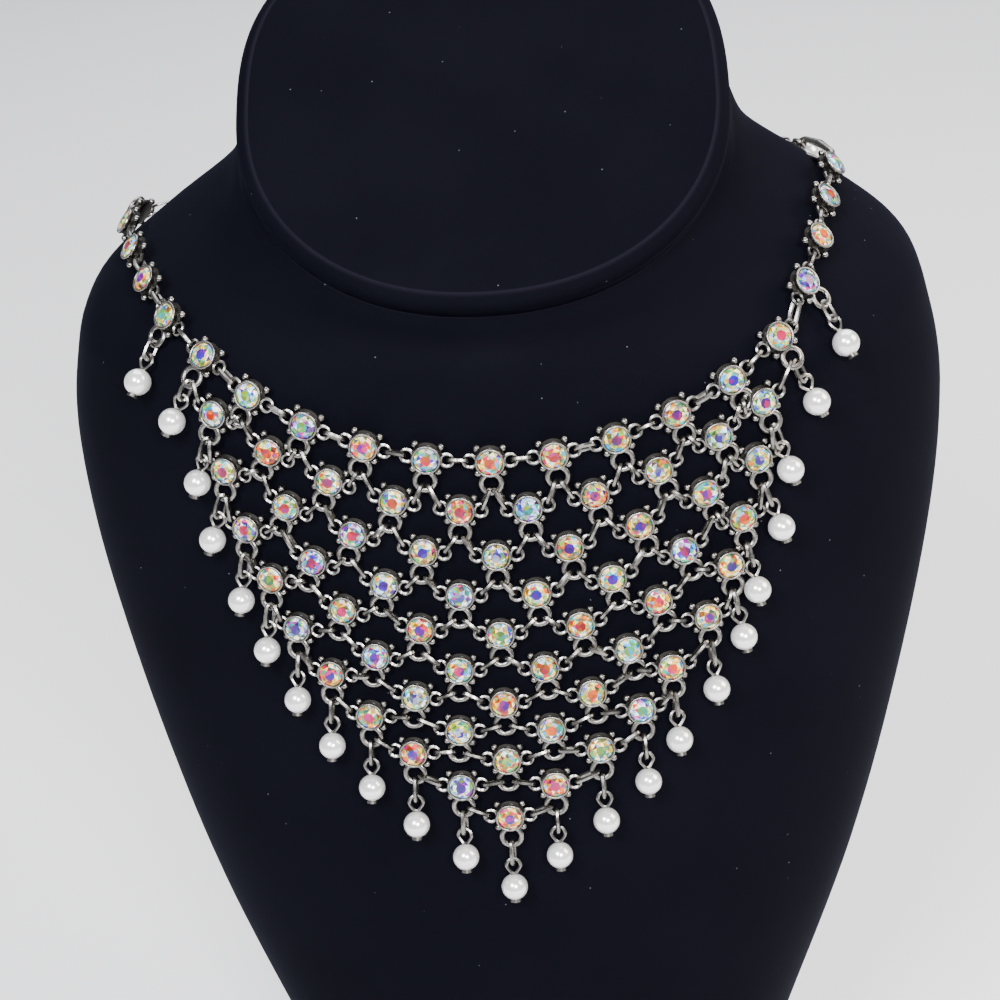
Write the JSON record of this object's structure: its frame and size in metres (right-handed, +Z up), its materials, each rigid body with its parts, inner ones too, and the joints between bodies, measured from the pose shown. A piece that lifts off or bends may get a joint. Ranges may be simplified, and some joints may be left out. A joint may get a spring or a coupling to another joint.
{
  "type": "bib necklace on a neck bust",
  "caption": "Triangular bib necklace of cut stones in silver cups on wire links, edged with hanging pearls, worn by a plain black velvet neck bust.",
  "frame": {"origin": "middle of the bounding box at the bust's flat base, on the surface that it stands on", "axes": "+Z up, +X to the right as seen from the front, the bib and chest face -Y"},
  "size_m": [0.206, 0.118, 0.3013],
  "materials": {
    "black_velvet": "blue-black velvet pile",
    "antiqued_silver": "bright silver plate, darkened in the recesses",
    "pearl": "white pearl lustre"
  },
  "bodies": {
    "root": {"neck_bust": "black_velvet", "neck_cap": "black_velvet", "stone_net": "antiqued_silver", "stone_chain_left": "antiqued_silver", "stone_chain_right": "antiqued_silver", "back_chain": "antiqued_silver", "hook_clasp": "antiqued_silver", "pearl_drop_01": "pearl", "pearl_drop_02": "pearl", "pearl_drop_03": "pearl", "pearl_drop_04": "pearl", "pearl_drop_05": "pearl", "pearl_drop_06": "pearl", "pearl_drop_07": "pearl", "pearl_drop_08": "pearl", "pearl_drop_09": "pearl", "pearl_drop_10": "pearl", "pearl_drop_11": "pearl", "pearl_drop_12": "pearl", "pearl_drop_13": "pearl", "pearl_drop_14": "pearl", "pearl_drop_15": "pearl", "pearl_drop_16": "pearl", "pearl_drop_17": "pearl", "pearl_drop_18": "pearl", "pearl_drop_19": "pearl", "pearl_drop_20": "pearl", "pearl_drop_21": "pearl", "pearl_drop_22": "pearl", "pearl_drop_23": "pearl", "end_pearl": "pearl"}
  },
  "joints": []
}
